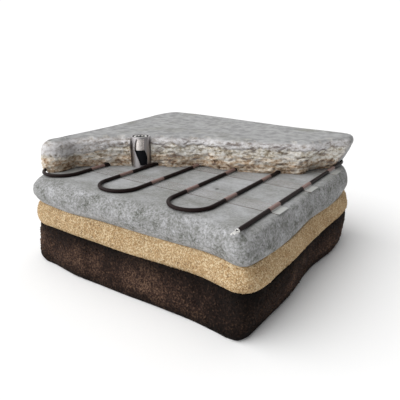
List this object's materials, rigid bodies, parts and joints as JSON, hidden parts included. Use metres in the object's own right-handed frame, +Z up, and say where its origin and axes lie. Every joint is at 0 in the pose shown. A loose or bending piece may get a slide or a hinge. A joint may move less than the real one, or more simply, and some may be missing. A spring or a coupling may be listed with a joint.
{
  "type": "outdoor heating mat",
  "caption": "Outdoor heating mat laid in a cutaway block of its build-up: soil, sand, concrete, taped cable, round snow sensor and paving slab.",
  "frame": {"origin": "centre of the bounding box's footprint, on the flat underside of the soil", "axes": "+Z up; -Y is the side where the slab with the mat's front turns lies open; +X runs along the tape strips toward the stripped cable end"},
  "size_m": [0.5454, 0.5292, 0.2304],
  "materials": {
    "soil": "matte",
    "sand": "matte",
    "concrete": "matte",
    "paving_stone": "matte",
    "cable_jacket": "satin",
    "tinned_wire": "satin",
    "tape_film": "satin",
    "bright_metal": "satin",
    "polished_metal": "polished",
    "black_plastic": "satin",
    "black_rubber": "matte",
    "pale_insulator": "satin"
  },
  "bodies": {
    "root": {"soil_base": "soil", "sand_bed": "sand", "concrete_slab": "concrete", "paving_slab": "paving_stone", "heating_cable": "cable_jacket", "cable_screen": "tinned_wire", "cable_core": "black_plastic", "conductor_1": "tinned_wire", "conductor_2": "tinned_wire", "tape_strip_1": "tape_film", "tape_strip_2": "tape_film", "tape_strip_3": "tape_film", "sensor_housing": "bright_metal", "sensor_core": "black_plastic", "sensor_sleeve": "polished_metal", "sensor_seal": "black_rubber", "sensor_spacer": "pale_insulator", "sensor_cap": "black_plastic", "sensor_contact_1": "polished_metal", "sensor_contact_2": "polished_metal"}
  },
  "joints": []
}
